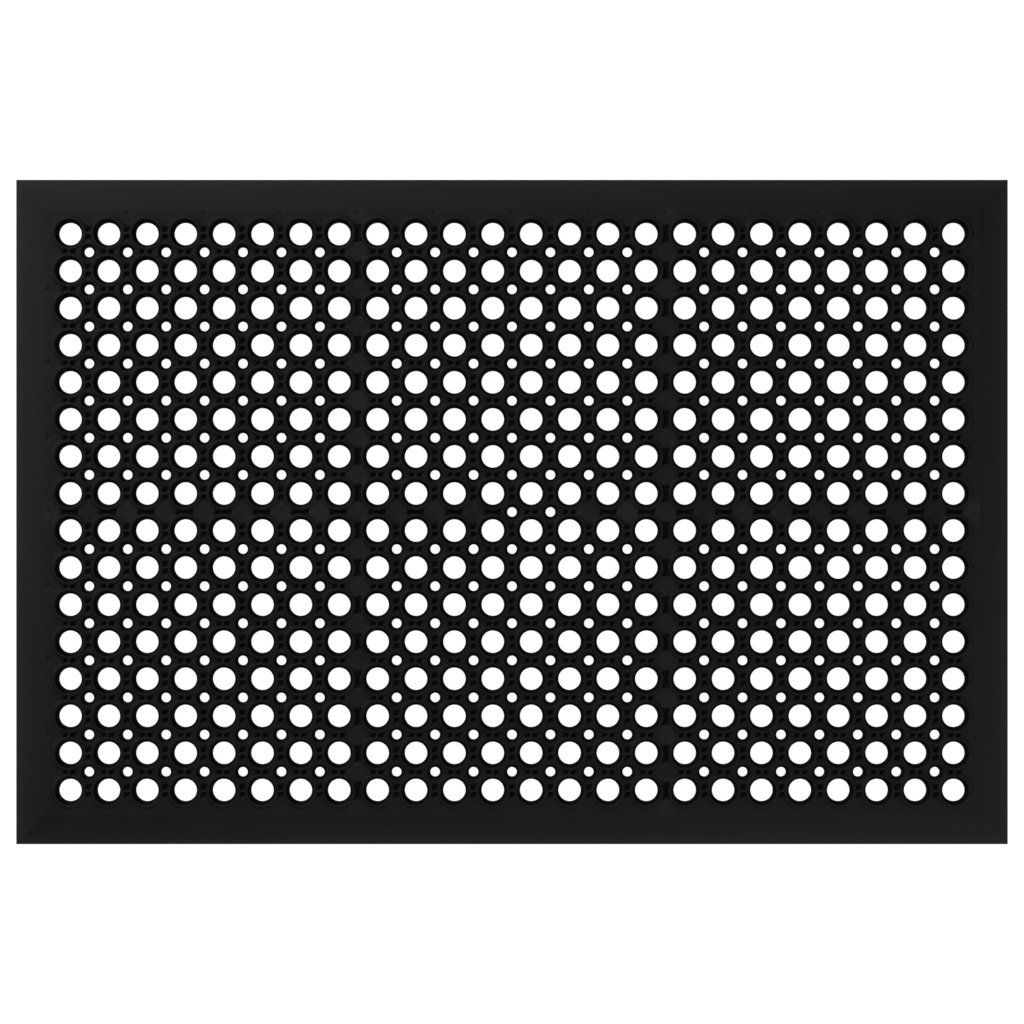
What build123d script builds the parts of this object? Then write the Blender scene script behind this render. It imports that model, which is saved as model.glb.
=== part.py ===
from build123d import *
import os

# Rubber ring mat: six fields of open rings inside four bevelled border strips.
# The origin is in the middle of the underside. +X runs along the long side and +Z is up. Millimetres.
# The fields and strips are the zones of one moulding, cut where they meet, and they touch face to face.

# Outline and ring grid
MAT_LENGTH = 900.0
MAT_WIDTH = 603.0
MAT_HEIGHT = 12.0
CELL_X = 34.8                   # ring spacing along the long side
CELL_Y = 33.6                   # ring spacing along the short side
FIELD_CELLS = 8                 # rings along each side of one field
FIELD_COLUMNS = ("left", "middle", "right")
FIELD_ROWS = ("front", "back")

# One ring: a tube with a wide well and a narrower drain opening in its foot
RING_RADIUS = 15.6
RING_EDGE_BEVEL = 0.8
LIP_RADIUS = 13.0               # inner edge of the ring's flat top
LIP_DROP = 1.2                  # height of the sloping lip
WELL_RADIUS = 12.4
DRAIN_RADIUS = 10.1
RING_FOOT_Z = 3.0
RING_LEDGE_Z = 5.0              # top of the foot, where the well ends

# The web that joins the rings, with a small stepped hole where four of them meet
WEB_BOTTOM_Z = 5.0
WEB_TOP_Z = 10.8
SMALL_WELL_RADIUS = 6.6
SMALL_DRAIN_RADIUS = 4.3
SMALL_LEDGE_Z = 6.8

# Ribs that cross the gaps between neighbouring rings, and the pockets beside them
RIB_WIDTH = 2.7
RIB_TOP_Z = 11.0               # just under the bevel of the ring
RIB_OVERLAP = 0.8               # how far a rib runs into the ring's wall
POCKET_LENGTH = 4.4             # along the gap
POCKET_WIDTH = 2.2              # across the gap
POCKET_FLOOR_Z = 7.6

# Studs under each ring, which lift the mat off the floor
STUDS_PER_RING = 4
STUD_RADIUS = 2.4
STUD_CIRCLE_RADIUS = 12.9

# The two middle fields are bridged: a short run of ribs and small holes crosses their common edge
BRIDGED_FIELD = "middle"
BRIDGED_CELLS = (4, 5)          # cells whose rib crosses that edge, counted from 0 on the left
BRIDGED_CORNERS = (4, 5)        # small holes on that edge, in cell widths from the left

# Bevelled border
BORDER_EDGE_HEIGHT = 2.6
BORDER_EDGE_BEVEL = 0.8
BEVEL_WIDTH = 28.0

FIELD_LENGTH = FIELD_CELLS * CELL_X
FIELD_WIDTH = FIELD_CELLS * CELL_Y
INNER_LENGTH = len(FIELD_COLUMNS) * FIELD_LENGTH
INNER_WIDTH = len(FIELD_ROWS) * FIELD_WIDTH


def block(length, width, bottom, top):
    """A block centred on the Z axis, between two heights."""
    return Pos(0, 0, bottom) * extrude(Rectangle(length, width), top - bottom)


def cylinder(radius, bottom, top):
    """A cylinder on the Z axis, between two heights."""
    return Pos(0, 0, bottom) * extrude(Circle(radius), top - bottom)


def ring_pieces():
    """One open ring and the studs under its diagonals, about its own axis."""
    section = Polyline(
        (DRAIN_RADIUS, RING_FOOT_Z),
        (RING_RADIUS, RING_FOOT_Z),
        (RING_RADIUS, MAT_HEIGHT - RING_EDGE_BEVEL),
        (RING_RADIUS - RING_EDGE_BEVEL, MAT_HEIGHT),
        (LIP_RADIUS, MAT_HEIGHT),
        (WELL_RADIUS, MAT_HEIGHT - LIP_DROP),
        (WELL_RADIUS, RING_LEDGE_Z),
        (DRAIN_RADIUS, RING_LEDGE_Z),
        close=True,
    )
    tube = revolve(Plane.XZ * make_face(section), Axis.Z)
    stud = cylinder(STUD_RADIUS, 0, RING_FOOT_Z)
    places = PolarLocations(STUD_CIRCLE_RADIUS, STUDS_PER_RING, start_angle=45)
    return [tube] + [place * stud for place in places]


def small_hole_pieces():
    """The two cutters of one small stepped hole, about its own axis."""
    drain = cylinder(SMALL_DRAIN_RADIUS, RING_FOOT_Z, MAT_HEIGHT)
    well = cylinder(SMALL_WELL_RADIUS, SMALL_LEDGE_Z, MAT_HEIGHT)
    return [drain, well]


def rib(spacing):
    """One rib along X, between two rings that stand this far apart."""
    length = spacing - 2 * (RING_RADIUS - RIB_OVERLAP)
    return block(length, RIB_WIDTH, WEB_BOTTOM_Z, RIB_TOP_Z)


def rib_pockets():
    """The cutters of the two pockets beside a rib that runs along X."""
    pocket = block(POCKET_WIDTH, POCKET_LENGTH, POCKET_FLOOR_Z, MAT_HEIGHT)
    offset = (RIB_WIDTH + POCKET_LENGTH) / 2
    return [Pos(0, side * offset, 0) * pocket for side in (-1, 1)]


def placed(places, pieces):
    """Every piece at every place."""
    return [place * piece for place in places for piece in pieces]


def inner_rib_places():
    """The places of the ribs inside one field: those along X, and those along Y."""
    inner = FIELD_CELLS - 1
    along_x = GridLocations(CELL_X, CELL_Y, inner, FIELD_CELLS).locations
    along_y = GridLocations(CELL_X, CELL_Y, FIELD_CELLS, inner).locations
    return along_x, [place * Rot(0, 0, 90) for place in along_y]


def bridge_places(edge_y):
    """The places of the small holes and the ribs on a bridged edge of a field."""
    left = -FIELD_LENGTH / 2
    holes = [Pos(left + corner * CELL_X, edge_y, 0) for corner in BRIDGED_CORNERS]
    ribs = [Pos(left + (cell + 0.5) * CELL_X, edge_y, 0) * Rot(0, 0, 90) for cell in BRIDGED_CELLS]
    return holes, ribs


def field(bridged_side):
    """One field about its own centre. bridged_side is -1 or +1 for its bridged Y edge, or 0."""
    inner = FIELD_CELLS - 1
    ring_places = GridLocations(CELL_X, CELL_Y, FIELD_CELLS, FIELD_CELLS).locations
    hole_places = GridLocations(CELL_X, CELL_Y, inner, inner).locations
    ribs_x, ribs_y = inner_rib_places()
    if bridged_side:
        bridge_holes, bridge_ribs = bridge_places(bridged_side * FIELD_WIDTH / 2)
        hole_places = hole_places + bridge_holes
        ribs_y = ribs_y + bridge_ribs
    web = block(FIELD_LENGTH, FIELD_WIDTH, WEB_BOTTOM_Z, WEB_TOP_Z)
    well = cylinder(WELL_RADIUS, WEB_BOTTOM_Z, WEB_TOP_Z)
    cutters = placed(ring_places, [well])
    cutters += placed(hole_places, small_hole_pieces())
    cutters += placed(ribs_x + ribs_y, rib_pockets())
    raised = placed(ring_places, ring_pieces())
    raised += placed(ribs_x, [rib(CELL_X)])
    raised += placed(ribs_y, [rib(CELL_Y)])
    body = (web - cutters) + raised
    limits = block(FIELD_LENGTH, FIELD_WIDTH, 0, MAT_HEIGHT)
    return body & limits if bridged_side else body


def border_strip(length, depth, mitre):
    """One border strip along X. Its outer edge lies on Y = 0, and each end is mitred in by this much."""
    section = Polyline(
        (0, 0),
        (0, BORDER_EDGE_HEIGHT - BORDER_EDGE_BEVEL),
        (BORDER_EDGE_BEVEL, BORDER_EDGE_HEIGHT),
        (BEVEL_WIDTH, WEB_TOP_Z),
        (depth, WEB_TOP_Z),
        (depth, 0),
        close=True,
    )
    bar = extrude(Plane.YZ * make_face(section), length / 2, both=True)
    outline = Polyline(
        (-length / 2, 0),
        (length / 2, 0),
        (length / 2 - mitre, depth),
        (-length / 2 + mitre, depth),
        close=True,
    )
    return bar & extrude(make_face(outline), WEB_TOP_Z)


def ring_fields():
    """The six ring fields by node name."""
    centres = GridLocations(FIELD_LENGTH, FIELD_WIDTH, len(FIELD_COLUMNS), len(FIELD_ROWS)).locations
    names = [(row, column) for column in FIELD_COLUMNS for row in FIELD_ROWS]
    plain = field(0)
    bridged = {"front": field(1), "back": field(-1)}
    fields = {}
    for (row, column), centre in zip(names, centres):
        shape = bridged[row] if column == BRIDGED_FIELD else plain
        fields[f"ring_field_{row}_{column}"] = centre * shape
    return fields


def border_strips():
    """The four border strips by node name."""
    end_depth = (MAT_LENGTH - INNER_LENGTH) / 2
    side_depth = (MAT_WIDTH - INNER_WIDTH) / 2
    long_strip = border_strip(MAT_LENGTH, side_depth, end_depth)
    short_strip = border_strip(MAT_WIDTH, end_depth, side_depth)
    return {
        "border_front": Pos(0, -MAT_WIDTH / 2, 0) * long_strip,
        "border_back": Pos(0, MAT_WIDTH / 2, 0) * Rot(0, 0, 180) * long_strip,
        "border_left": Pos(-MAT_LENGTH / 2, 0, 0) * Rot(0, 0, -90) * short_strip,
        "border_right": Pos(MAT_LENGTH / 2, 0, 0) * Rot(0, 0, 90) * short_strip,
    }


os.makedirs("parts", exist_ok=True)
for node, shape in {**ring_fields(), **border_strips()}.items():
    shape.label = node
    export_step(shape, f"parts/{node}.step", write_pcurves=False)
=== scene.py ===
import math
from functools import reduce

import bmesh
import bpy
import numpy as np
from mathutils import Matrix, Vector
from mathutils.geometry import delaunay_2d_cdt


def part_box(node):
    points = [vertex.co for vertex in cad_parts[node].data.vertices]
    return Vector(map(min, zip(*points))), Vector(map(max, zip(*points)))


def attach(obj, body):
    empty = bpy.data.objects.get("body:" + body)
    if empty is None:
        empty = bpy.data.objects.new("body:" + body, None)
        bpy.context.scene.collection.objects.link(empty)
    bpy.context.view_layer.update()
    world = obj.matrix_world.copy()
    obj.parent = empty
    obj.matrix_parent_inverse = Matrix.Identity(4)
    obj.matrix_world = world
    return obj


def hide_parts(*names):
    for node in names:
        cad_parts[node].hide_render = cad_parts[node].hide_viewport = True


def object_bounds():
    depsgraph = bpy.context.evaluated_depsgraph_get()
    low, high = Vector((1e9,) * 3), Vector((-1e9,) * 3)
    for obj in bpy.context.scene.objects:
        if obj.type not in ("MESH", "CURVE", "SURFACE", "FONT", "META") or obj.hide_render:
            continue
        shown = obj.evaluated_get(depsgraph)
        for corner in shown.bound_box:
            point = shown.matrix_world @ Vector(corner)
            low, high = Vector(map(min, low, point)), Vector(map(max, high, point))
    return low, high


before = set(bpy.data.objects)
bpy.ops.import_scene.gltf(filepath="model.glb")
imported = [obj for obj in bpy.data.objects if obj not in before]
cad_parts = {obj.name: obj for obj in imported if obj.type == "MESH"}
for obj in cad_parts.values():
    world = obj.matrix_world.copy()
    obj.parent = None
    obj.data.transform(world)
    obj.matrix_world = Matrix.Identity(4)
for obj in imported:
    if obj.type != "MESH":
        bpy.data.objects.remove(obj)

# A moulded black rubber ring mat: six fields of open rings inside four bevelled border strips.
# Shapes are worked out in millimetres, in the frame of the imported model, and turned into metres last.
# Materials, stage, lights and camera are in metres.

MM = 0.001
CAD_LOW, CAD_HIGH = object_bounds()
FIELD_CELLS = 8
FIELD_ROWS = ("front", "back")
FIELD_COLUMNS = ("left", "middle", "right")
BODY = "root"

ON_LINE = 1e-6                      # points this near a cell's edge or axis are moved onto it
WELD = 1e-4                         # vertices this near each other are one
CDT_WELD = 1e-5                     # the same in a triangulation
SECTION_WELD = 1e-6                 # and in that of a section
INSIDE = 0.996                      # a triangle is inside a circle if its middle is in this much of it


def box_mm(node):
    """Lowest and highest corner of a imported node, in millimetres."""
    low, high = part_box(node)
    return np.array(low) / MM, np.array(high) / MM


# ---------------------------------------------------------------- sizes of one ring and its web
FIELD_LOW, FIELD_HIGH = box_mm("ring_field_front_left")
CELL = (FIELD_HIGH - FIELD_LOW)[:2] / FIELD_CELLS
HALF = CELL / 2                     # from a ring's centre to the edge of its cell
MAT_TOP = FIELD_HIGH[2]
WEB_TOP = box_mm("border_front")[1][2]
WEB_BOTTOM = 5.0
SEAM_X = box_mm("ring_field_front_right")[0][0]     # seams are at X = -SEAM_X and SEAM_X, and at Y = 0

QUARTER_STEPS = 12                  # facets in a quarter of a ring
CREST_RADIUS = 13.35                # the ring's flat top starts here
SHOULDER_START = 14.9               # its outer shoulder falls from here
SHOULDER_END = 16.4                 # to here
CROWN_DROP = 0.10                   # how much the flat top falls towards the shoulder
CROWN_ROWS = (14.7, 14.0)           # radii of the rows of points on the flat top
SHOULDER_ROWS = (SHOULDER_END, 16.05, 15.65, 15.25)
SHOULDER_MIDDLE = 15.95             # points on the shoulder are spaced out along this radius
DIAGONAL_ANGLES = (38.5, 45.0, 51.5)        # further points on the shoulder, towards the small hole

HOLE_STEPS = 6                      # facets in a quarter of a small hole
COLLAR_RADIUS = 7.3                 # top of the collar round a small hole
COLLAR_START = 7.75                 # the collar falls to the web from here
COLLAR_END = 8.7                    # to here
COLLAR_MIDDLE = 8.2
COLLAR_RISE = 0.12

RIB_FLAT = 0.9                      # half width of a rib's top
RIB_FOOT = 1.75                     # half width of a rib at its foot
RIB_TOP = MAT_TOP - 0.2
POCKET_DEPTH = 2.6
POCKET_START = 4.0                  # the pocket's floor rises from here
POCKET_END = 6.4                    # to here
VALLEY_DEPTH = 2.8
VALLEY_START = 5.4                  # the valley's floor rises from here
VALLEY_END = 8.5                    # to here

# Distances along a gap at which its surface has points, from the line between the two rings' centres
RIB_STATIONS = (0.0, RIB_FLAT, 1.3, RIB_FOOT, 3.0, POCKET_START, 5.6, POCKET_END, VALLEY_END)
VALLEY_STATIONS = (0.0, 1.7, 3.4, VALLEY_START, 6.2, 7.3, VALLEY_END)
MIDWAY_STATIONS = (4.3, 5.6, 6.8, 8.5, 10.5)
PAD_SHARES = (0.6, 0.8)             # of the way along a cell's edge
POINT_SPACING = 0.33                # the least distance between two points of the skin

# Radius and height of the ring's wall, from its crest down the well, under its foot and up to the web
RING_WALL = (
    (CREST_RADIUS, MAT_TOP),
    (12.95, 11.82),
    (12.60, 11.40),
    (12.42, 10.80),
    (12.40, 5.50),
    (11.95, 5.00),
    (10.45, 5.00),
    (10.15, 4.75),
    (10.10, 3.25),
    (10.35, 3.00),
    (15.30, 3.00),
    (15.60, 3.30),
    (15.60, WEB_BOTTOM),
)

# The same for a small hole
HOLE_WALL = (
    (COLLAR_RADIUS, WEB_TOP + COLLAR_RISE),
    (6.95, 10.80),
    (6.70, 10.48),
    (6.60, 10.00),
    (6.60, 7.20),
    (6.20, 6.80),
    (4.60, 6.80),
    (4.35, 6.60),
    (4.30, 5.25),
    (4.50, WEB_BOTTOM),
)


def smoothstep(low, high, value):
    """0 below low, 1 above high, and an even S between them."""
    share = np.clip((value - low) / (high - low), 0.0, 1.0)
    return share * share * (3.0 - 2.0 * share)


# ---------------------------------------------------------------- the top skin of a quarter cell
def gap_floor(kind, along):
    """Height of the gap between two rings, at a distance along it from the line of their centres."""
    if kind == "rib":
        pocket = POCKET_DEPTH * (1 - smoothstep(POCKET_START, POCKET_END, along))
        rib = (RIB_TOP - WEB_TOP + POCKET_DEPTH) * (1 - smoothstep(RIB_FLAT, RIB_FOOT, along))
        return WEB_TOP - pocket + rib
    if kind == "valley":
        return WEB_TOP - VALLEY_DEPTH * (1 - smoothstep(VALLEY_START, VALLEY_END, along))
    return np.full_like(along, WEB_TOP)


def skin_height(x, y, kind):
    """Height of the top skin. A quarter cell's kind is its gap in X, its gap in Y and its corner."""
    side_x, side_y, corner = kind
    radius = np.hypot(x, y)
    gap = gap_floor(side_x, y) + gap_floor(side_y, x) - WEB_TOP
    share = np.clip((radius - CREST_RADIUS) / (SHOULDER_START - CREST_RADIUS), 0.0, 1.0)
    ring_top = MAT_TOP - CROWN_DROP * share * share
    height = gap + (ring_top - gap) * (1 - smoothstep(SHOULDER_START, SHOULDER_END, radius))
    if corner == "hole":
        from_corner = np.hypot(HALF[0] - x, HALF[1] - y)
        height = height + COLLAR_RISE * (1 - smoothstep(COLLAR_START, COLLAR_END, from_corner))
    return height


def arc(centre, radius, first, last, steps):
    """Points on an arc, its angles in degrees."""
    angles = np.radians(np.linspace(first, last, steps + 1))
    return [(centre[0] + radius * math.cos(a), centre[1] + radius * math.sin(a)) for a in angles]


def gap_stations(kind):
    """Distances along a gap at which its surface has points."""
    return RIB_STATIONS if kind == "rib" else VALLEY_STATIONS


def shoulder_angles(kind):
    """Angles of the points on the ring's shoulder: where the gaps' heights turn, and between them."""
    low, high = (
        [math.degrees(math.asin(station / SHOULDER_MIDDLE)) for station in gap_stations(gap)]
        for gap in kind[:2]
    )
    return low + list(DIAGONAL_ANGLES) + [90 - angle for angle in reversed(high)]


def skin_points(kind):
    """Points of a quarter cell's top skin, the most important ones first."""
    points = []
    half_x, half_y = HALF
    for station in gap_stations(kind[0]):
        points.append((half_x, station))
    for station in gap_stations(kind[1]):
        points.append((station, half_y))
    if kind[2] == "hole":
        for radius in (COLLAR_START, COLLAR_MIDDLE, COLLAR_END):
            points += arc(HALF, radius, 180, 270, HOLE_STEPS)
    else:
        points.append((half_x, half_y))
        for share in PAD_SHARES:
            points += [(half_x, share * half_y), (share * half_x, half_y)]
    for radius in SHOULDER_ROWS:
        for angle in np.radians(shoulder_angles(kind)):
            points.append((radius * math.cos(angle), radius * math.sin(angle)))
    for radius in CROWN_ROWS:
        points += arc((0, 0), radius, 0, 90, QUARTER_STEPS)
    for station in MIDWAY_STATIONS:
        foot = math.sqrt(SHOULDER_END ** 2 - station ** 2)
        points.append(((foot + half_x) / 2, station))
        points.append((station, (foot + half_y) / 2))
    return points


def thinned(points, fixed, spacing):
    """The fixed points and then each further point that isn't too near one already kept."""
    kept = list(fixed)
    for point in points:
        if all(math.dist(point, other) > spacing for other in kept):
            kept.append(point)
    return kept


def snapped(point):
    """A point moved exactly onto the cell's edges and axes where it is meant to lie on them."""
    x, y = point
    for line in (0.0, HALF[0]):
        x = line if abs(x - line) < ON_LINE else x
    for line in (0.0, HALF[1]):
        y = line if abs(y - line) < ON_LINE else y
    return x, y


def triangulated(points, loops, keep=None):
    """Triangles between points, with each loop's edges kept, where keep(x, y) holds at the middle."""
    edges = []
    for loop in loops:
        edges += [(a, b) for a, b in zip(loop, loop[1:])]
    result = delaunay_2d_cdt([Vector(p) for p in points], edges, [], 0, CDT_WELD, False)
    flat = np.array([tuple(v) for v in result[0]])
    faces = []
    for face in result[2]:
        middle = flat[list(face)].mean(axis=0)
        if keep is None or keep(*middle):
            faces.append(tuple(face))
    return flat, faces


def skin_patch(kind):
    """The top skin of a quarter cell, as points and triangles."""
    crest = [snapped(p) for p in arc((0, 0), CREST_RADIUS, 0, 90, QUARTER_STEPS)]
    loops = [list(range(len(crest)))]
    fixed = list(crest)
    if kind[2] == "hole":
        collar = [snapped(p) for p in arc(HALF, COLLAR_RADIUS, 180, 270, HOLE_STEPS)]
        loops.append(list(range(len(fixed), len(fixed) + len(collar))))
        fixed += collar
    inside = []
    for x, y in (snapped(p) for p in skin_points(kind)):
        in_cell = 0.0 <= x <= HALF[0] and 0.0 <= y <= HALF[1]
        if in_cell and math.hypot(x, y) > CREST_RADIUS:
            if kind[2] != "hole" or math.dist((x, y), HALF) > COLLAR_RADIUS:
                inside.append((x, y))
    points = thinned(inside, fixed, POINT_SPACING)

    def keep(x, y):
        in_ring = math.hypot(x, y) < CREST_RADIUS * INSIDE
        in_hole = kind[2] == "hole" and math.dist((x, y), HALF) < COLLAR_RADIUS * INSIDE
        return not in_ring and not in_hole

    flat, faces = triangulated(points, loops, keep)
    height = skin_height(flat[:, 0], flat[:, 1], kind)
    return np.column_stack([flat, height]), faces


# ---------------------------------------------------------------- walls and underside
def underside_patch(kind):
    """The flat underside of a quarter cell's web, outside the ring and the small hole."""
    ring_radius = RING_WALL[-1][0]
    hole_radius = HOLE_WALL[-1][0]
    ring_arc = [snapped(p) for p in arc((0, 0), ring_radius, 0, 90, QUARTER_STEPS)]
    loops = [list(range(len(ring_arc)))]
    points = ring_arc + [(HALF[0], 0.0), (0.0, HALF[1])]
    if kind[2] == "hole":
        hole_arc = [snapped(p) for p in arc(HALF, hole_radius, 180, 270, HOLE_STEPS)]
        loops.append(list(range(len(points), len(points) + len(hole_arc))))
        points += hole_arc
    else:
        points.append(tuple(HALF))

    def keep(x, y):
        in_ring = math.hypot(x, y) < ring_radius * INSIDE
        in_hole = kind[2] == "hole" and math.dist((x, y), HALF) < hole_radius * INSIDE
        return not in_ring and not in_hole

    flat, faces = triangulated(points, loops, keep)
    height = np.full(len(flat), WEB_BOTTOM)
    return np.column_stack([flat, height]), faces


def wall_patch(centre, profile, first, steps):
    """A quarter turn of a wall about a vertical axis, as points and quads."""
    points = []
    for radius, height in profile:
        points += [(*snapped(p), height) for p in arc(centre, radius, first, first + 90, steps)]
    row = steps + 1
    faces = []
    for level in range(len(profile) - 1):
        for step in range(steps):
            start = level * row + step
            faces.append((start, start + 1, start + row + 1, start + row))
    return np.array(points), faces


def joined(patches):
    """Several patches as one."""
    points, faces, count = [], [], 0
    for patch_points, patch_faces in patches:
        points.append(patch_points)
        faces += [tuple(index + count for index in face) for face in patch_faces]
        count += len(patch_points)
    return np.vstack(points), faces


def quarter_cell(kind):
    """Everything in a quarter cell of this kind, about the ring's centre."""
    patches = [skin_patch(kind), underside_patch(kind)]
    patches.append(wall_patch((0, 0), RING_WALL, 0, QUARTER_STEPS))
    if kind[2] == "hole":
        patches.append(wall_patch(HALF, HOLE_WALL, 180, HOLE_STEPS))
    return joined(patches)


# ---------------------------------------------------------------- a whole field of rings
BRIDGED_COLUMN = "middle"
BRIDGED_CELLS = (4, 5)
BRIDGED_CORNERS = (4, 5)
QUARTERS = ((1, 1), (-1, 1), (-1, -1), (1, -1))


def gap_kind(place, cell, direction, axis):
    """What fills the gap on one side of a cell: a rib, a plain valley, or nothing beside the border."""
    row, column = place
    if 0 <= cell[axis] + direction < FIELD_CELLS:
        return "rib"
    if axis == 0:
        outermost = {"left": -1, "middle": 0, "right": 1}[column]
        return "plain" if direction == outermost else "valley"
    outermost = -1 if row == "front" else 1
    if direction == outermost:
        return "plain"
    bridged = column == BRIDGED_COLUMN and cell[0] in BRIDGED_CELLS
    return "rib" if bridged else "valley"


def corner_kind(place, cell, quarter):
    """Whether a cell's corner has a small hole or a plain pad."""
    corner = [cell[axis] + (quarter[axis] + 1) // 2 for axis in (0, 1)]
    if all(0 < corner[axis] < FIELD_CELLS for axis in (0, 1)):
        return "hole"
    row, column = place
    inner_edge = FIELD_CELLS if row == "front" else 0
    bridged = column == BRIDGED_COLUMN and corner[0] in BRIDGED_CORNERS and corner[1] == inner_edge
    return "hole" if bridged else "pad"


def field_surface(place, low):
    """The rings, web and walls of one field from its lowest corner on. Only its four sides are open."""
    made = {}
    patches = []
    for cell in np.ndindex(FIELD_CELLS, FIELD_CELLS):
        centre = low[:2] + (np.array(cell) + 0.5) * CELL
        for quarter in QUARTERS:
            sides = [gap_kind(place, cell, quarter[axis], axis) for axis in (0, 1)]
            kind = (sides[0], sides[1], corner_kind(place, cell, quarter))
            if kind not in made:
                made[kind] = quarter_cell(kind)
            points, faces = made[kind]
            moved = points * (quarter[0], quarter[1], 1) + (centre[0], centre[1], 0)
            if quarter[0] * quarter[1] < 0:
                faces = [face[::-1] for face in faces]
            patches.append((moved, faces))
    return joined(patches)


def close_side(bm, axis, value):
    """Fills the open section of a field in one of its four side planes."""
    along = 1 - axis

    def in_plane(edge):
        return all(abs(v.co[axis] - value) < WELD for v in edge.verts)

    edges = [e for e in bm.edges if e.is_boundary and in_plane(e)]
    verts = sorted({v for e in edges for v in e.verts}, key=lambda v: (v.co[along], v.co.z))
    index = {v: i for i, v in enumerate(verts)}
    kept = [(index[e.verts[0]], index[e.verts[1]]) for e in edges]
    for end in (verts[0].co[along], verts[-1].co[along]):
        column = sorted((v for v in verts if abs(v.co[along] - end) < WELD), key=lambda v: v.co.z)
        kept.append((index[column[0]], index[column[-1]]))
    flat = [Vector((v.co[along], v.co.z)) for v in verts]
    result = delaunay_2d_cdt(flat, kept, [], 0, SECTION_WELD, True)
    spans = np.array([[*flat[a], *flat[b]] for a, b in kept])
    for face in result[2]:
        corners = [verts[result[3][i][0]] for i in face]
        middle = sum((Vector((v.co[along], v.co.z)) for v in corners), Vector((0, 0))) / len(corners)
        if inside_section(middle, spans):
            made = bm.faces.new(corners)
            made.smooth = False


def inside_section(point, spans):
    """Whether a point of a section has an odd number of its boundary's spans straight below it."""
    low, high = np.minimum(spans[:, 0], spans[:, 2]), np.maximum(spans[:, 0], spans[:, 2])
    over = (low < point[0]) & (point[0] <= high)
    near = spans[over]
    share = (point[0] - near[:, 0]) / (near[:, 2] - near[:, 0])
    height = near[:, 1] + share * (near[:, 3] - near[:, 1])
    return np.count_nonzero(height < point[1]) % 2 == 1


def finished_mesh(name, points, faces, close=None, hard=()):
    """A closed object made of points, in millimetres, and of faces, all smooth but for the hard ones."""
    mesh = bpy.data.meshes.new(name)
    mesh.from_pydata(points, [], faces)
    bm = bmesh.new()
    bm.from_mesh(mesh)
    for index, face in enumerate(bm.faces):
        face.smooth = index not in hard
    bmesh.ops.remove_doubles(bm, verts=bm.verts, dist=WELD)
    if close:
        close(bm)
    bmesh.ops.recalc_face_normals(bm, faces=bm.faces)
    for edge in bm.edges:
        edge.smooth = all(face.smooth for face in edge.link_faces)
    open_edges = sum(1 for e in bm.edges if not e.is_manifold)
    triangles = sum(len(f.verts) - 2 for f in bm.faces)
    print(f"{name}: {triangles} triangles, {open_edges} open edges")
    bmesh.ops.scale(bm, vec=(MM, MM, MM), verts=bm.verts)
    bm.to_mesh(mesh)
    bm.free()
    piece = bpy.data.objects.new(name, mesh)
    bpy.context.scene.collection.objects.link(piece)
    return piece


def field_piece(row, column):
    """The visible piece of one ring field."""
    node = f"ring_field_{row}_{column}"
    low, high = box_mm(node)
    points, faces = field_surface((row, column), low)

    def close_sides(bm):
        for axis in (0, 1):
            for corner in (low, high):
                close_side(bm, axis, corner[axis])

    piece = finished_mesh(f"rings_{row}_{column}", points, faces, close_sides)
    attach(piece, BODY)
    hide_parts(node)
    return piece


# ---------------------------------------------------------------- studs under the rings
STUDS_PER_RING = 4
FIRST_STUD = 45                     # its direction from the ring's centre, in degrees
STUD_CIRCLE = 12.85                 # radius on which the studs stand
STUD_STEPS = 12
STUD_PROFILE = ((1.70, 0.00), (2.05, 0.18), (2.18, 0.55), (2.25, 3.25))    # radius, height


def stud():
    """One rounded stud, closed at both ends, about its own axis."""
    points, faces = [], []
    for radius, height in STUD_PROFILE:
        for step in range(STUD_STEPS):
            angle = 2 * math.pi * step / STUD_STEPS
            points.append((radius * math.cos(angle), radius * math.sin(angle), height))
    for level in range(len(STUD_PROFILE) - 1):
        for step in range(STUD_STEPS):
            start, following = level * STUD_STEPS, (step + 1) % STUD_STEPS
            faces.append((start + step, start + following, start + STUD_STEPS + following,
                          start + STUD_STEPS + step))
    last = (len(STUD_PROFILE) - 1) * STUD_STEPS
    faces.append(tuple(range(STUD_STEPS))[::-1])
    faces.append(tuple(range(last, last + STUD_STEPS)))
    return np.array(points), faces


def studs_piece(row, column):
    """The studs that stand under the rings of one field."""
    low, high = box_mm(f"ring_field_{row}_{column}")
    points, faces = stud()
    patches = []
    for cell in np.ndindex(FIELD_CELLS, FIELD_CELLS):
        centre = low[:2] + (np.array(cell) + 0.5) * CELL
        for turn in range(STUDS_PER_RING):
            angle = math.radians(FIRST_STUD + turn * 360 / STUDS_PER_RING)
            offset = (STUD_CIRCLE * math.cos(angle), STUD_CIRCLE * math.sin(angle))
            patches.append((points + (centre[0] + offset[0], centre[1] + offset[1], 0), faces))
    piece = finished_mesh(f"studs_{row}_{column}", *joined(patches))
    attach(piece, BODY)
    return piece


# ---------------------------------------------------------------- bevelled border
EDGE_PROFILE = (                    # distance from the outer edge, height
    (0.70, 0.00),
    (0.20, 0.18),
    (0.00, 0.60),
    (0.00, 1.75),
    (0.14, 2.18),
    (0.45, 2.47),
    (1.00, 2.68),
)
BEVEL_START = (1.60, 2.86)
BEVEL_END = (26.60, 10.40)
BEVEL_STEPS = 6
TOP_PROFILE = ((27.30, 10.60), (28.00, 10.73), (28.80, WEB_TOP))
STRIP_STEP = 8.4                    # length of one facet along a strip
DIMPLE_RADIUS = 1.6
DIMPLE_DEPTH = 0.9
DIMPLE_INSET = 1.6                  # from the ring field
DIMPLE_STEPS = 10
DIMPLE_MIDWAY = 0.62                # of the dimple's radius

# Where each strip's outer edge lies before the strip is turned into place
OUTER_EDGE = {
    "front": CAD_LOW.y / MM,
    "back": -CAD_HIGH.y / MM,
    "left": CAD_LOW.x / MM,
    "right": -CAD_HIGH.x / MM,
}


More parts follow.
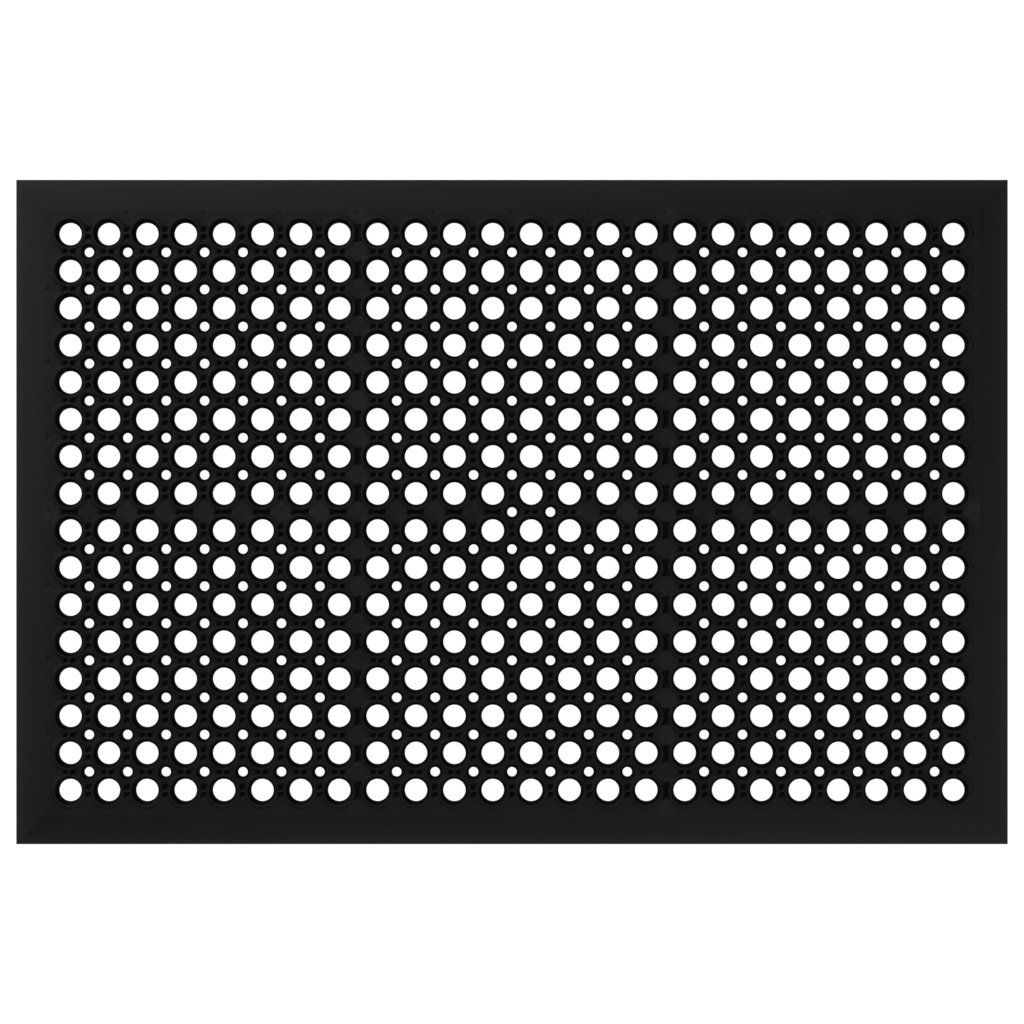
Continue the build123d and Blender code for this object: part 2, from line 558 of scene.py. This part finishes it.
def border_profile():
    """The outer surface of a border strip, from under its outer edge up to the flat margin."""
    bevel = np.linspace(BEVEL_START, BEVEL_END, BEVEL_STEPS + 1)
    return list(EDGE_PROFILE) + [tuple(p) for p in bevel] + list(TOP_PROFILE)


def margin_patch(length, depth, slant, stations, cell):
    """The flat margin of a strip, with a small dimple at every second corner of the ring cells."""
    inner = TOP_PROFILE[-1][0]
    points = [(t * (length / 2 - inner * slant), inner) for t in stations]
    points += [(t * (length / 2 - depth * slant), depth) for t in stations]
    span = length - 2 * depth * slant
    count = round(span / cell)
    dimples = [-span / 2 + corner * cell for corner in range(2, count - 1, 2)]
    centre_line = depth - DIMPLE_INSET
    rims = []
    for middle in dimples:
        first = len(points)
        points += arc((middle, centre_line), DIMPLE_RADIUS, 0, 360, DIMPLE_STEPS)[:-1]
        rims.append([*range(first, first + DIMPLE_STEPS), first])
        points += arc((middle, centre_line), DIMPLE_MIDWAY * DIMPLE_RADIUS, 0, 360, DIMPLE_STEPS)[:-1]
        points.append((middle, centre_line))
    flat, faces = triangulated(points, rims)
    height = np.full(len(flat), WEB_TOP)
    for middle in dimples:
        away = np.hypot(flat[:, 0] - middle, flat[:, 1] - centre_line) / DIMPLE_RADIUS
        height -= DIMPLE_DEPTH * np.clip(1 - away * away, 0, 1)
    return np.column_stack([flat, height]), faces


def strip_surface(length, depth, mitre, cell):
    """One border strip along X, outer edge on Y = 0 and mitred ends open, and its hard faces."""
    slant = mitre / depth
    stations = np.linspace(-1, 1, round(length / STRIP_STEP) + 1)

    def rows(profile):
        points = [(t * (length / 2 - u * slant), u, z) for u, z in profile for t in stations]
        width = len(stations)
        faces = []
        for level in range(len(profile) - 1):
            for start in range(level * width, (level + 1) * width - 1):
                faces.append((start, start + 1, start + width + 1, start + width))
        return np.array(points), faces

    outside = rows(border_profile())
    margin = margin_patch(length, depth, slant, stations, cell)
    under = rows((EDGE_PROFILE[0], (depth, 0.0), (depth, WEB_TOP)))
    points, faces = joined([outside, margin, under])
    return points, faces, set(range(len(faces) - len(under[1]), len(faces)))


def close_ends(bm):
    """Fills the open mitred ends of a strip, each a loop of boundary edges that meet."""
    left = [e for e in bm.edges if e.is_boundary]
    while left:
        loop = []
        near = left[:1]
        while near:
            loop += near
            corners = {vertex for edge in loop for vertex in edge.verts}
            left = [e for e in left if e not in near]
            near = [e for e in left if corners & set(e.verts)]
        for face in bmesh.ops.contextual_create(bm, geom=loop)["faces"]:
            face.smooth = False


def strip_piece(side, length, depth, mitre, cell, turn):
    """The visible piece of one border strip, turned into place about the middle of the mat."""
    points, faces, hard = strip_surface(length, depth, mitre, cell)
    angle = math.radians(turn)
    x, y = points[:, 0], points[:, 1] + OUTER_EDGE[side]
    turned = np.column_stack([x * math.cos(angle) - y * math.sin(angle),
                              x * math.sin(angle) + y * math.cos(angle), points[:, 2]])
    piece = finished_mesh(f"bevel_{side}", turned, faces, close_ends, hard)
    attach(piece, BODY)
    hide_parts(f"border_{side}")
    return piece


def border_pieces():
    """The four bevelled strips."""
    length, width = np.array(CAD_HIGH - CAD_LOW)[:2] / MM
    side_depth = float(np.ptp(box_mm("border_front"), axis=0)[1])
    end_depth = float(np.ptp(box_mm("border_left"), axis=0)[0])
    along = (length, side_depth, end_depth, CELL[0])
    across = (width, end_depth, side_depth, CELL[1])
    return [
        strip_piece("front", *along, 0),
        strip_piece("back", *along, 180),
        strip_piece("left", *across, -90),
        strip_piece("right", *across, 90),
    ]


# ---------------------------------------------------------------- rubber
BLACK = (0.0048, 0.0048, 0.0051)
# The pale colour that dust, the painted highlight on the crests and the painted light on the border all
# mix towards.
PALE_DUST_AND_LIGHT = (0.0197, 0.0201, 0.0219)
PAINTED_RECESS_SHADE = (0.0010, 0.0010, 0.0010)   # painted shade: near black down in the rings, holes and pockets
GLOSS = 0.20
BUMP_STRENGTH = 0.80
BUMP_DISTANCE = 0.00040
GRAIN_SHARE = 0.6                   # of the bump; the rest follows the specks

# Noises: cells to a metre, detail, roughness
BLOTCHES = (14.0, 4.0, 0.6)
GRAIN = (1100.0, 3.0, 0.6)
SPECKS = (420.0, 5.0, 0.7)

# Ramps: a range of some value, and what it is carried to
OUTSIDE_FIELDS = (0.0310, 0.0325, 1.0, 0.0)         # by distance from the outer edge
ABOVE_RECESS = (0.0078, 0.0107, 0.0, 1.0)           # by height
CREST_FROM = (0.01140, 0.01175, 0.0, 1.0)           # by height: the rounded edges of the rings, where a highlight is painted
CREST_TO = (0.01183, 0.01195, 1.0, 0.0)
PAD_FROM = (0.0104, 0.0107, 0.0, 1.0)               # by height: the plain pads
PAD_TO = (0.0109, 0.0112, 1.0, 0.0)
NEAR_SEAM = (0.006, 0.011, 1.0, 0.0)                # by distance from the nearest seam
BEYOND_BRIDGES = (0.033, 0.036, 0.0, 1.0)           # by distance from the two small holes on a seam
CREST_HIGHLIGHT_BY_SPECKS = (0.35, 0.60, 0.3, 1.0)
DUST_BY_SPECKS = (0.52, 0.72, 0.0, 0.42)
DUST_BY_BLOTCHES = (0.35, 0.70, 0.3, 1.0)
PAD_BY_BLOTCHES = (0.40, 0.62, 0.12, 0.58)
TONE_BY_BLOTCHES = (0.3, 0.7, 0.0, 0.13)
PAINTED_LIGHT_BY_EDGE = (                                    # by distance from the outer edge: a painted highlight along the edge, and painted light over the bevel and margin that fades into the ring fields
    (0.0003, 0.0025, 0.35, 0.0),
    (0.0015, 0.0090, 0.38, 0.0),
    (0.0000, 0.0300, 0.50, 0.0),
    (0.0300, 0.0480, 0.25, 0.0),
)
CREST_HIGHLIGHT_TONE = 0.35
ROUGH_BY_BLOTCHES = (0.3, 0.7, 0.56, 0.65)
ROUGH_BY_SPECKS = (0.3, 0.7, -0.03, 0.04)
ROUGH_IN_RECESS = (0.0, 1.0, 0.14, 0.0)             # by how far out of the recesses


def add_node(tree, kind, inputs=None, **settings):
    """A shader node with its settings, its fixed input values and its input links."""
    node = tree.nodes.new(kind)
    for name, value in settings.items():
        setattr(node, name, value)
    for name, value in (inputs or {}).items():
        if isinstance(value, bpy.types.NodeSocket):
            tree.links.new(value, node.inputs[name])
        else:
            node.inputs[name].default_value = value
    return node


def noise(tree, place, settings):
    """A noise value between 0 and 1."""
    scale, detail, roughness = settings
    inputs = {"Vector": place, "Scale": scale, "Detail": detail, "Roughness": roughness}
    return add_node(tree, "ShaderNodeTexNoise", inputs).outputs["Fac"]


def spread(tree, value, ramp):
    """A value carried from one range to another, held at its ends."""
    inputs = dict(zip(("From Min", "From Max", "To Min", "To Max"), ramp), Value=value)
    return add_node(tree, "ShaderNodeMapRange", inputs).outputs["Result"]


def combined(tree, operation, first, second):
    """Two values, or a value and a number, put together."""
    return add_node(tree, "ShaderNodeMath", {0: first, 1: second}, operation=operation).outputs[0]


def gap_between(tree, first, second):
    """How far apart two values are."""
    return combined(tree, "ABSOLUTE", combined(tree, "SUBTRACT", first, second), 0.0)


def mixed_colour(tree, share, first, second):
    """A colour between two."""
    node = tree.nodes.new("ShaderNodeMix")
    node.data_type = "RGBA"
    tree.links.new(share, node.inputs["Factor"])
    for name, value in (("A", first), ("B", second)):
        socket = next(s for s in node.inputs if s.name == name and s.type == "RGBA")
        if isinstance(value, bpy.types.NodeSocket):
            tree.links.new(value, socket)
        else:
            socket.default_value = (*value, 1.0)
    return next(s for s in node.outputs if s.type == "RGBA")


def distances(tree, place):
    """Distance from the mat's outer edge, and from the nearest seam between two ring fields."""
    parts = add_node(tree, "ShaderNodeSeparateXYZ", {0: place})
    out_x, out_y = (gap_between(tree, parts.outputs[axis], 0.0) for axis in "XY")
    edge_x = combined(tree, "SUBTRACT", CAD_HIGH.x, out_x)
    edge_y = combined(tree, "SUBTRACT", CAD_HIGH.y, out_y)
    seam_x = gap_between(tree, out_x, SEAM_X * MM)
    return combined(tree, "MINIMUM", edge_x, edge_y), combined(tree, "MINIMUM", seam_x, out_y)


def product(tree, *values):
    """Several values multiplied together."""
    return reduce(lambda first, second: combined(tree, "MULTIPLY", first, second), values)


def total(tree, *values):
    """Several values added together."""
    return reduce(lambda first, second: combined(tree, "ADD", first, second), values)


def pad_share(tree, place, height, from_seam):
    """1 on the plain pads along the seams between the ring fields, and 0 elsewhere."""
    x = add_node(tree, "ShaderNodeSeparateXYZ", {0: place}).outputs["X"]
    return product(
        tree,
        spread(tree, height, PAD_FROM),
        spread(tree, height, PAD_TO),
        spread(tree, from_seam, NEAR_SEAM),
        spread(tree, gap_between(tree, x, HALF[0] * MM), BEYOND_BRIDGES),
    )


def rubber(name):
    """Matt black moulded rubber: fine grain, dust, paler pads, painted shade in the recesses, a painted
    highlight on the crests and painted light on the border.
    """
    material = bpy.data.materials.new(name)
    material.use_nodes = True
    tree = material.node_tree
    shader = tree.nodes["Principled BSDF"]
    place = add_node(tree, "ShaderNodeTexCoord").outputs["Object"]
    height = add_node(tree, "ShaderNodeSeparateXYZ", {0: place}).outputs["Z"]
    from_edge, from_seam = distances(tree, place)

    blotches = noise(tree, place, BLOTCHES)
    grain = noise(tree, place, GRAIN)
    specks = noise(tree, place, SPECKS)

    outside = spread(tree, from_edge, OUTSIDE_FIELDS)
    open_top = combined(tree, "MAXIMUM", outside, spread(tree, height, ABOVE_RECESS))
    # Painted highlight: the rounded crests of the rings are made paler, broken up by specks.
    painted_crest_highlight = product(
        tree,
        spread(tree, height, CREST_FROM),
        spread(tree, height, CREST_TO),
        spread(tree, specks, CREST_HIGHLIGHT_BY_SPECKS),
        CREST_HIGHLIGHT_TONE,
    )
    dust = product(tree, spread(tree, specks, DUST_BY_SPECKS), spread(tree, blotches, DUST_BY_BLOTCHES))
    on_pads = pad_share(tree, place, height, from_seam)
    pads = product(tree, on_pads, spread(tree, blotches, PAD_BY_BLOTCHES))
    # Painted light: a highlight along the outer edge, and a paler bevel and margin.
    painted_light_by_edge = [spread(tree, from_edge, ramp) for ramp in PAINTED_LIGHT_BY_EDGE]
    tone = total(tree, dust, spread(tree, blotches, TONE_BY_BLOTCHES), *painted_light_by_edge, pads, painted_crest_highlight)
    exposed = mixed_colour(tree, tone, BLACK, PALE_DUST_AND_LIGHT)
    # Painted shade: the recesses are coloured near black, as if they lay in shadow.
    colour = mixed_colour(tree, open_top, PAINTED_RECESS_SHADE, exposed)
    tree.links.new(colour, shader.inputs["Base Color"])

    rough = total(
        tree,
        spread(tree, blotches, ROUGH_BY_BLOTCHES),
        spread(tree, specks, ROUGH_BY_SPECKS),
        spread(tree, open_top, ROUGH_IN_RECESS),
    )
    tree.links.new(rough, shader.inputs["Roughness"])

    shader.inputs["Specular IOR Level"].default_value = GLOSS
    relief = total(tree, product(tree, grain, GRAIN_SHARE), product(tree, specks, 1 - GRAIN_SHARE))
    inputs = {"Height": relief, "Strength": BUMP_STRENGTH, "Distance": BUMP_DISTANCE}
    bump = add_node(tree, "ShaderNodeBump", inputs)
    tree.links.new(bump.outputs["Normal"], shader.inputs["Normal"])
    return material


# ---------------------------------------------------------------- stage, light and camera
CAMERA_HEIGHT = 1.9
VIEW_WIDTH = 0.9304                 # width of the floor that the camera takes in
SENSOR = 36.0
VIEW_END = 50.0                     # how far the camera sees
FLOOR_SIZE = 60.0
FLOOR_COLOUR = 0.25
FLOOR_GLOW = 0.96
BACKDROP_RADIUS = 20.0
BACKDROP_COLOUR = 0.0
BACKDROP_GLOW = 1.0
LAMP_SIZE = 2.4
LAMP_DISTANCE = 4.0
LAMPS = {                           # azimuth and elevation in degrees, and strength
    "key": (135, 40, 1.10),
    "fill": (-43, 40, 0.72),
    "side": (148, 45, 0.35),
}
WORLD_GLOW = (-0.10, 0.30, 0.03, 0.16)      # by the height of the direction: weaker below the floor


def staged(name, colour, emission):
    """Makes the new object a plain part of the stage, which only the camera sees: it lights nothing."""
    thing = bpy.context.object
    thing.name = name
    material = bpy.data.materials.new(name)
    material.use_nodes = True
    shader = material.node_tree.nodes["Principled BSDF"]
    shader.inputs["Base Color"].default_value = (colour, colour, colour, 1.0)
    shader.inputs["Roughness"].default_value = 0.9
    shader.inputs["Specular IOR Level"].default_value = 0.0
    shader.inputs["Emission Color"].default_value = (1.0, 1.0, 1.0, 1.0)
    shader.inputs["Emission Strength"].default_value = emission
    thing.data.materials.append(material)
    thing.visible_diffuse = False
    thing.visible_glossy = False
    thing.visible_shadow = False


def stage():
    """A plain pale floor, and a white backdrop all round it."""
    bpy.ops.mesh.primitive_plane_add(size=FLOOR_SIZE, location=(0, 0, 0))
    staged("floor", FLOOR_COLOUR, FLOOR_GLOW)
    bpy.ops.mesh.primitive_uv_sphere_add(radius=BACKDROP_RADIUS, location=(0, 0, 0))
    staged("backdrop", BACKDROP_COLOUR, BACKDROP_GLOW)


def lamp(name, azimuth, elevation, strength):
    """A large soft light that stands in this direction and shines at the mat."""
    light = bpy.data.lights.new(name, "AREA")
    light.shape = "DISK"
    light.size = LAMP_SIZE
    light.energy = strength * math.pi * LAMP_DISTANCE ** 2
    thing = bpy.data.objects.new(name, light)
    a, e = math.radians(azimuth), math.radians(elevation)
    towards = Vector((math.cos(a) * math.cos(e), math.sin(a) * math.cos(e), math.sin(e)))
    thing.location = towards * LAMP_DISTANCE
    thing.rotation_mode = "QUATERNION"
    thing.rotation_quaternion = towards.to_track_quat("Z", "Y")
    bpy.context.scene.collection.objects.link(thing)


def lights():
    """Soft studio light, stronger from the back left than from the front right."""
    for name, (azimuth, elevation, strength) in LAMPS.items():
        lamp(name, azimuth, elevation, strength)
    world = bpy.data.worlds.new("studio")
    world.use_nodes = True
    tree = world.node_tree
    direction = add_node(tree, "ShaderNodeTexCoord").outputs["Generated"]
    up = add_node(tree, "ShaderNodeSeparateXYZ", {0: direction}).outputs["Z"]
    glow = spread(tree, up, WORLD_GLOW)
    tree.links.new(glow, tree.nodes["Background"].inputs["Strength"])
    tree.nodes["Background"].inputs["Color"].default_value = (1.0, 1.0, 1.0, 1.0)
    bpy.context.scene.world = world


def camera():
    """A camera straight above the middle of the mat, its top towards the back."""
    data = bpy.data.cameras.new("above")
    data.sensor_width = SENSOR
    data.lens = SENSOR * CAMERA_HEIGHT / VIEW_WIDTH
    data.clip_end = VIEW_END
    eye = bpy.data.objects.new("above", data)
    eye.location = (0.0, 0.0, CAMERA_HEIGHT)
    bpy.context.scene.collection.objects.link(eye)
    bpy.context.scene.camera = eye


def build():
    """Everything in the scene."""
    field_rubber = rubber("field_rubber")
    border_rubber = rubber("border_rubber")
    for row in FIELD_ROWS:
        for column in FIELD_COLUMNS:
            field_piece(row, column).data.materials.append(field_rubber)
            studs_piece(row, column).data.materials.append(field_rubber)
    for piece in border_pieces():
        piece.data.materials.append(border_rubber)
    stage()
    lights()
    camera()
    bpy.context.scene.view_settings.view_transform = "Standard"


build()
